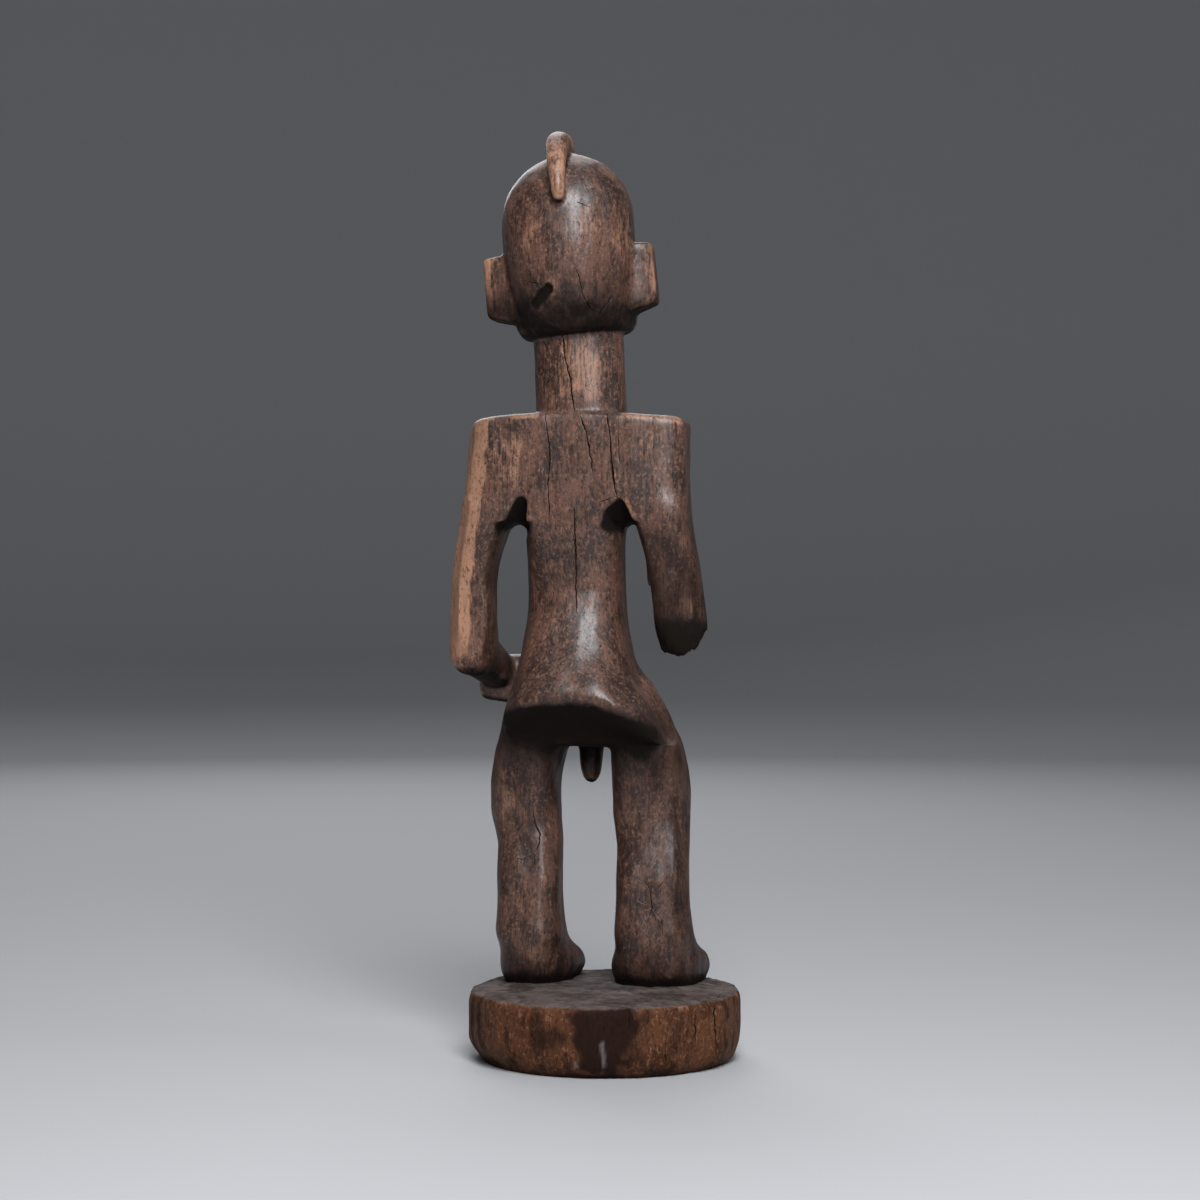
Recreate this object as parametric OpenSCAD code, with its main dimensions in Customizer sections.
// Standing ancestor figure carved from one block of hardwood, in millimetres.
// The figure faces -Y, its left side is +X, and the origin is the centre of the plinth's foot.
// The carving leans a little to its own left, as the trunk of the tree did, and its right
// forearm is lost, so nothing here is a true mirror of anything else.
// Every node is one carved mass. Masses meet face to face where the grain runs through.

/* [Plinth] */
// Diameter of the round plinth
plinth_d = 133; // [124:1:144]
// Height of the plinth
plinth_h = 35.5; // [30:0.5:38]
// Radial width of the adzed bevel under the rim
rim_bevel = 7; // [4:1:9]
// Height of the adzed bevel under the rim
rim_lift = 5; // [2:1:7]

/* [Levels above the floor] */
// Where the instep runs into the calf
ankle_z = 60; // [56:1:64]
// Middle of the bent knee
knee_z = 118; // [112:1:124]
// Where the two legs part
crotch_z = 152; // [148:1:156]
// Lower edge of the flared back
shelf_z = 177; // [173:1:181]
// Narrowest part of the trunk
waist_z = 228; // [222:1:234]
// Underside of the shoulder block
armpit_z = 262; // [256:1:268]
// Top of the shoulder block
shoulder_z = 313; // [308:1:318]
// Where the head sits on the neck
chin_z = 353; // [348:1:358]

/* [Legs] */
// Sideways offset of the stance from the plinth's centre
stance_x = 8; // [4:1:12]
// Distance between the middles of the legs
leg_gap = 61; // [58:1:64]
// Width of the left calf
calf_w = 31; // [29:1:34]
// How much wider the right leg and foot were left
right_extra = 4; // [0:1:5]
// Length of a foot
foot_l = 60; // [54:1:62]
// Width of the left foot
foot_w = 37; // [34:1:39]
// Turn of both feet towards the right, in degrees
foot_turn = 6; // [0:1:8]

/* [Trunk] */
// Width of the trunk at the waist
waist_w = 48; // [44:1:52]
// Width across the hips where the legs part
hip_w = 90; // [86:1:94]
// Width of the shoulder block
shoulder_w = 108; // [102:1:114]
// Thickness of the shoulder block from chest to back
shoulder_d = 37; // [32:1:42]
// How far the buttock shelf stands behind the figure's axis
shelf_y = 30; // [26:1:34]
// How far the belly stands before the figure's axis
belly_y = 36; // [32:1:38]

/* [Arms] */
// Width of an upper arm
arm_w = 23; // [20:1:26]
// Lowest point of the left elbow
elbow_z = 188; // [184:1:192]
// Height of the break on the right arm
stump_z = 202; // [194:1:206]

/* [Neck and head] */
// Diameter of the neck
neck_d = 45; // [42:1:48]
// Height of the skull above the neck
skull_h = 89; // [84:1:92]
// Width of the skull
skull_w = 65; // [60:1:68]
// Height that the crest adds above the skull
crest_rise = 10.5; // [7:0.5:13]
// Thickness of the crest at the crown
crest_t = 11; // [8:0.5:13]
// Tilt of the head towards its left shoulder, in degrees
head_tilt = 5; // [2:0.5:7]
// Turn of the face towards its left shoulder, in degrees
head_turn = 4; // [0:1:8]

/* [Hidden] */

DARK = "#4d382f";
RUBBED = "#8a6450";
PLINTH_WOOD = "#7a5238";

SEGMENTS = 32;
LEFT = 1;
RIGHT = -1;

// Offsets of the leaning middle line from the plinth's centre, at each level
hip_x = stance_x + 1.3;
waist_x = stance_x + 7.7;
shoulder_x = stance_x + 6;
neck_x = stance_x + 6;
neck_y = -3;
neck_lean = 2.5;
head_x = 1;

// ---- Skins over level sections -------------------------------------------------------------

// One level section [z, x, y, half width, half depth, front squareness, back squareness, turn]:
// an oval at a squareness of 2, and nearly a rectangle at 6. The turn may be left off.
function ring(s) = [
    for (i = [0 : SEGMENTS - 1])
        let (
            t = 360 * i / SEGMENTS, c = cos(t), q = sin(t), p = 2 / (q < 0 ? s[5] : s[6]),
            u = s[3] * sign(c) * pow(abs(c), p), v = s[4] * sign(q) * pow(abs(q), p),
            a = len(s) > 7 ? s[7] : 0
        )
            [s[1] + u * cos(a) - v * sin(a), s[2] + u * sin(a) + v * cos(a), s[0]]
];

// A smooth curve through the stations, cut into a few steps a span
function curve_at(a, b, c, d, t) =
    0.5 * ((2 * b) + (c - a) * t + (2 * a - 5 * b + 4 * c - d) * t * t
        + (3 * b - a - 3 * c + d) * t * t * t);
function smooth(list, steps) = [
    for (i = [0 : len(list) - 2], k = [0 : steps - 1])
        curve_at(list[max(i - 1, 0)], list[i], list[i + 1], list[min(i + 2, len(list) - 1)],
            k / steps),
    list[len(list) - 1]
];

// A closed solid skinned over rings of equal length
module skin(rings) {
    n = len(rings[0]);
    top = (len(rings) - 1) * n;
    points = [for (r = rings) each r];
    sides = [
        for (j = [0 : len(rings) - 2], i = [0 : n - 1])
            let (a = j * n + i, b = j * n + (i + 1) % n)
                each [[a, a + n, b], [b, a + n, b + n]]
    ];
    caps = [[for (i = [0 : n - 1]) i], [for (i = [n - 1 : -1 : 0]) top + i]];
    polyhedron(points = points, faces = concat(caps, sides));
}

module loft(stations, steps = 2) {
    skin([for (s = smooth(stations, steps)) ring(s)]);
}

// Runs its children's +Z from one point to another, with their +X turned to face down
module along(from, to) {
    d = to - from;
    translate(from)
        rotate([0, acos(d[2] / norm(d)), atan2(d[1], d[0])])
            children();
}

// ---- Plinth and legs -----------------------------------------------------------------------

function leg_x(side) = stance_x + side * leg_gap / 2;
function extra(side) = side == RIGHT ? right_extra : 0;
function leg_half(side) = (calf_w + extra(side)) / 2;

module plinth() {
    r = plinth_d / 2;
    color(PLINTH_WOOD)
        rotate_extrude($fn = 96)
            polygon([
                [0, 0], [r - rim_bevel, 0], [r - 1.5, rim_lift], [r, rim_lift + 5],
                [r, plinth_h - 4.5], [r - 1, plinth_h - 2], [r - 3, plinth_h - 0.5],
                [r - 6, plinth_h], [0, plinth_h]
            ]);
}

// The section that a foot and its calf share
function ankle(side) =
    [ankle_z, leg_x(side) - 0.8, -5.5, leg_half(side) + 1.8, 18, 2.6, 3.4, -foot_turn];

// The section that a calf and its thigh share
function knee(side) =
    [knee_z, leg_x(side) + 2.4 + side * 0.6, -14, leg_half(side) + 1.8, 17.5, 2.4, 3, 0];

module foot(side) {
    heel_y = 11;
    mid_x = leg_x(side) - 3.5;
    mid_y = heel_y - foot_l / 2;
    half_w = (foot_w + extra(side)) / 2;
    half_l = foot_l / 2;
    turn = -foot_turn;
    color(DARK)
        loft([
            [plinth_h, mid_x, mid_y, half_w - 1, half_l - 1, 3.2, 2.8, turn],
            [plinth_h + 7, mid_x, mid_y, half_w, half_l, 3.2, 2.8, turn],
            [plinth_h + 13, mid_x + 0.5, mid_y + 3, half_w - 0.3, half_l - 2, 3, 3, turn],
            [plinth_h + 19, mid_x + 1.5, mid_y + 8, half_w - 1, half_l - 6.5, 2.6, 3, turn],
            ankle(side)
        ]);
}

module calf(side) {
    w = leg_half(side);
    color(DARK)
        loft([
            ankle(side),
            [72, leg_x(side) - 0.3, -6, w + 0.7, 16.5, 2.6, 3.6, -foot_turn / 2],
            [88, leg_x(side), -7, w + 0.3, 15.5, 2.6, 3.6, 0],
            [104, leg_x(side) + 0.3, -10.5, w + 0.3, 15.5, 2.5, 3.2, 0],
            knee(side)
        ]);
}

module thigh(side) {
    w = leg_half(side);
    color(DARK)
        loft([
            knee(side),
            [135, leg_x(side) + 2.4 + side * 0.6, -13, w + 1.8, 19, 2.6, 2.8, 0],
            [crotch_z, leg_x(side) + 1 - side * 2, -9, w + 1.5 - extra(side) / 2, 20.5, 3.2, 3, 0]
        ]);
}

// ---- Trunk ---------------------------------------------------------------------------------

waist = [waist_z, waist_x, -11.5, waist_w / 2, 18.5, 2.4, 2.3];

// A section given by how far it reaches forward and back
function deep(z, x, half_w, front, back, nf, nb) =
    [z, x, (back - front) / 2, half_w, (back + front) / 2, nf, nb];

module hips() {
    color(DARK)
        loft([
            deep(crotch_z, hip_x, hip_w / 2, 29, 12, 3.2, 3.4),
            deep(164, hip_x, hip_w / 2 - 3.5, 31.5, 21.5, 2.8, 3.6),
            deep(shelf_z - 3, hip_x + 1, hip_w / 2 - 8, 34, shelf_y, 2.6, 3.8),
            deep(shelf_z + 3, hip_x + 2, hip_w / 2 - 10.5, 35, shelf_y, 2.5, 3.6),
            deep(192, waist_x - 0.8, 29, belly_y, 21.5, 2.4, 2.8),
            deep(209, waist_x, 25.5, 34, 12, 2.4, 2.4),
            waist
        ]);
}

module loin_peg() {
    color(DARK)
        difference() {
            translate([hip_x + 2, -27.5, crotch_z + 12])
                rotate([4, 0, 0])
                    rotate_extrude($fn = 32)
                        polygon([
                            [0, 0], [5.5, 0], [6, -10], [5.8, -20], [5, -26], [3.4, -30.5],
                            [1.6, -32.6], [0, -33]
                        ]);
            hips();
        }
}

module torso() {
    color(DARK)
        loft([
            waist,
            [240, waist_x, -10.5, waist_w / 2, 18.5, 2.5, 2.4],
            [252, waist_x, -8.7, waist_w / 2 + 0.2, 19, 2.7, 2.9],
            [armpit_z, waist_x, -7.6, waist_w / 2 + 1.5, 20, 3, 3.6]
        ]);
}

module navel() {
    color(RUBBED)
        difference() {
            translate([waist_x, 4 - belly_y, 200])
                rotate([90, 0, 0])
                    cylinder(h = 9, r1 = 5.5, r2 = 3.5, $fn = 32);
            hips();
        }
}

module shoulders() {
    half_w = shoulder_w / 2;
    mid_y = -6;
    color(DARK)
        loft([
            [armpit_z, shoulder_x + 0.5, mid_y, half_w + 2.2, shoulder_d / 2, 4, 5],
            [280, shoulder_x + 0.2, mid_y, half_w + 1, shoulder_d / 2, 4.5, 5.5],
            [300, shoulder_x - 0.5, mid_y, half_w, shoulder_d / 2, 4.5, 5.5],
            [shoulder_z - 3, shoulder_x - 1.5, mid_y, half_w - 2, shoulder_d / 2 - 0.5, 4.5, 5],
            [shoulder_z, shoulder_x - 2, mid_y, half_w - 5, shoulder_d / 2 - 3, 4, 4.5]
        ]);
}

// ---- Arms ----------------------------------------------------------------------------------

elbow = [shoulder_x + 52.5, -6, elbow_z + 11];
wrist = [shoulder_x + 48, -41, elbow_z - 1];

module left_upper_arm() {
    half = arm_w / 2;
    color(RUBBED)
        loft([
            [elbow_z, elbow[0] - 1, -8, 4, 6, 2.2, 2.2],
            [elbow_z + 3, elbow[0], -7, 8, 9.5, 2.4, 2.4],
            [elbow_z + 10, elbow[0], -6, half, 12.5, 2.6, 2.6],
            [214, elbow[0], -4, half - 0.5, 12.5, 2.8, 2.8],
            [232, elbow[0] - 0.5, -4, half - 1, 12, 2.8, 2.8],
            [246, elbow[0] - 2.6, -5, half - 0.7, 14, 2.9, 3.2],
            [armpit_z, elbow[0] - 6.4, -6, half + 0.2, shoulder_d / 2, 3.6, 4.4]
        ]);
}

module left_forearm() {
    reach = norm(wrist - elbow);
    color(DARK)
        difference() {
            along(elbow, wrist)
                loft([
                    [0, 0, 0, 11.5, 10.5, 2.6, 2.6],
                    [reach * 0.45, 0, 0, 10, 9.5, 2.6, 2.6],
                    [reach, 0, 0, 8.5, 8.5, 2.4, 2.4]
                ]);
            left_upper_arm();
        }
}

module left_hand() {
    heel = [wrist[0] + 9, -44.5, elbow_z - 4];
    tips = [waist_x + 9, -41.5, elbow_z - 6];
    reach = norm(tips - heel);
    color(DARK)
        difference() {
            along(heel, tips)
                loft([
                    [0, 0, 0, 8, 5, 2.6, 2.6],
                    [3, 0, 0, 11, 7, 3, 3],
                    [reach * 0.45, 0, 0, 12.5, 7, 3, 3],
                    [reach - 6, 0, 0, 10, 5.5, 3, 3],
                    [reach, 0, 0, 7, 3, 2.6, 2.6]
                ]);
            left_forearm();
            hips();
        }
}

module right_upper_arm() {
    half = arm_w / 2 + 1;
    stump_x = shoulder_x - 51.5;
    color(RUBBED)
        loft([
            [stump_z, stump_x, -6, 8.5, 11, 2.3, 2.3],
            [stump_z + 4, stump_x, -5.5, half - 1.5, 12.5, 2.5, 2.5],
            [212, stump_x + 0.5, -5, half, 13, 2.6, 2.6],
            [230, stump_x + 2.7, -4.5, half, 12.5, 2.8, 2.8],
            [246, stump_x + 5.5, -5, half + 0.3, 14.5, 2.9, 3.2],
            [armpit_z, stump_x + 9.4, -6, half + 1, shoulder_d / 2, 3.6, 4.4]
        ]);
}

// ---- Neck and head -------------------------------------------------------------------------

// Puts its children in the head's own frame, with the origin at the top of the neck
module on_neck() {
    translate([neck_x, neck_y, chin_z])
        rotate([0, head_tilt, head_turn])
            children();
}

module skull() {
    w = skull_w / 2;
    h = skull_h;
    loft([
        deep(0, 0.5, 26, 32, 20, 2.6, 2.4),
        deep(h * 0.07, 1, w - 3, 39, 22.5, 2.8, 2.2),
        deep(h * 0.18, head_x, w - 2, 41.5, 25.5, 2.7, 2.2),
        deep(h * 0.33, head_x, w - 0.8, 42.5, 28.5, 2.6, 2.2),
        deep(h * 0.52, head_x, w, 41.5, 30, 2.6, 2.2),
        deep(h * 0.68, head_x - 0.5, w - 0.5, 38.5, 28.5, 2.4, 2.2),
        deep(h * 0.81, head_x - 1, w - 4.2, 32, 24, 2.1, 2.1),
        deep(h * 0.91, head_x - 1.5, w - 12, 22, 17, 2, 2),
        deep(h * 0.97, head_x - 2, w - 21, 13, 9, 2, 2),
        deep(h, head_x - 2, 3, 3.5, 2, 2, 2)
    ]);
}

module head() {
    color(DARK)
        on_neck()
            skull();
}

module neck() {
    color(DARK)
        difference() {
            translate([neck_x - 1.5, neck_y - 5, shoulder_z - 4])
                rotate([0, neck_lean, 0])
                    scale([1, 0.8, 1])
                        cylinder(h = chin_z - shoulder_z + 8, d = neck_d, $fn = 72);
            head();
            shoulders();
        }
}

// The crest runs over the crown like a lock of hair, and its tail stands off the back of the head.
// Each entry is [y, z, slope of the outward normal in degrees, half thickness, half height].
module crest() {
    top = skull_h + crest_rise;
    t = crest_t / 2;
    path = smooth([
        [-26, top - 19, 140, t - 2.5, 4], [-19, top - 10, 125, t - 1, 6],
        [-9, top - 6.5, 104, t, 6.5], [2, top - 6, 88, t, 6],
        [14, top - 9, 66, t, 5.5], [24.5, top - 17.5, 38, t - 0.8, 4.6],
        [30.5, top - 28, 18, t - 2, 3.4], [31.5, top - 37, 5, t - 3, 2.2]
    ], 3);
    color(RUBBED)
        difference() {
            on_neck()
                skin([
                    for (p = path)
                        [
                            for (i = [0 : 19])
                                let (u = p[3] * cos(18 * i), v = p[4] * sin(18 * i))
                                    [
                                        head_x - 0.6 + u,
                                        p[0] + v * cos(p[2]),
                                        p[1] + v * sin(p[2])
                                    ]
                        ]
                ]);
            head();
        }
}

module ear(side) {
    inner = head_x + side * 24;
    outer = head_x + side * 42 + 0.5;
    color(RUBBED)
        difference() {
            on_neck()
                hull() {
                    for (z = [14, 39], y = [-12, 2])
                        translate([outer - side * 2, y + (z > 20 ? 0 : -2), z])
                            sphere(r = 2, $fn = 12);
                    for (z = [10, 38], y = [-14, 6])
                        translate([inner, y, z])
                            sphere(r = 2, $fn = 12);
                }
            head();
        }
}

module brow_and_nose() {
    brow = smooth([
        [26, -24, 42], [18, -36.5, 46.5], [9, -42, 46], [0, -43.5, 43], [-9, -42, 46],
        [-18, -36.5, 46.5], [-26, -24, 42]
    ], 2);
    color(DARK)
        difference() {
            on_neck()
                translate([head_x, 0, 0]) {
                    skin([
                        for (p = brow)
                            [
                                for (i = [0 : 11])
                                    [p[0], p[1] + 2.6 * cos(30 * i), p[2] - 2.6 * sin(30 * i)]
                            ]
                    ]);
                    hull() {
                        translate([0, -43.5, 42]) sphere(r = 3.4, $fn = 24);
                        translate([0, -48.5, 21]) sphere(r = 3.6, $fn = 24);
                        for (x = [-5.5, 5.5])
                            translate([x, -43, 20]) sphere(r = 3, $fn = 24);
                    }
                }
            head();
        }
}

module eye(side) {
    color(DARK)
        difference() {
            on_neck()
                translate([head_x + side * 14.5, -38.5, 35])
                    rotate([0, 0, side * 16])
                        scale([6.5, 4, 3.6])
                            sphere(r = 1, $fn = 28);
            head();
        }
}

module mouth() {
    color(DARK)
        difference() {
            on_neck()
                for (lip = [[12.2, 9.5, 2.3], [8.2, 8.5, 2.5]])
                    translate([head_x, -38.5, lip[0]])
                        scale([lip[1], 5, lip[2]])
                            sphere(r = 1, $fn = 28);
            head();
        }
}

plinth();
foot(LEFT);  // left_foot
foot(RIGHT);  // right_foot
calf(LEFT);  // left_calf
calf(RIGHT);  // right_calf
thigh(LEFT);  // left_thigh
thigh(RIGHT);  // right_thigh
hips();
loin_peg();
torso();
navel();
shoulders();
left_upper_arm();
left_forearm();
left_hand();
right_upper_arm();
neck();
head();
crest();
ear(LEFT);  // left_ear
ear(RIGHT);  // right_ear
brow_and_nose();
eye(LEFT);  // left_eye
eye(RIGHT);  // right_eye
mouth();
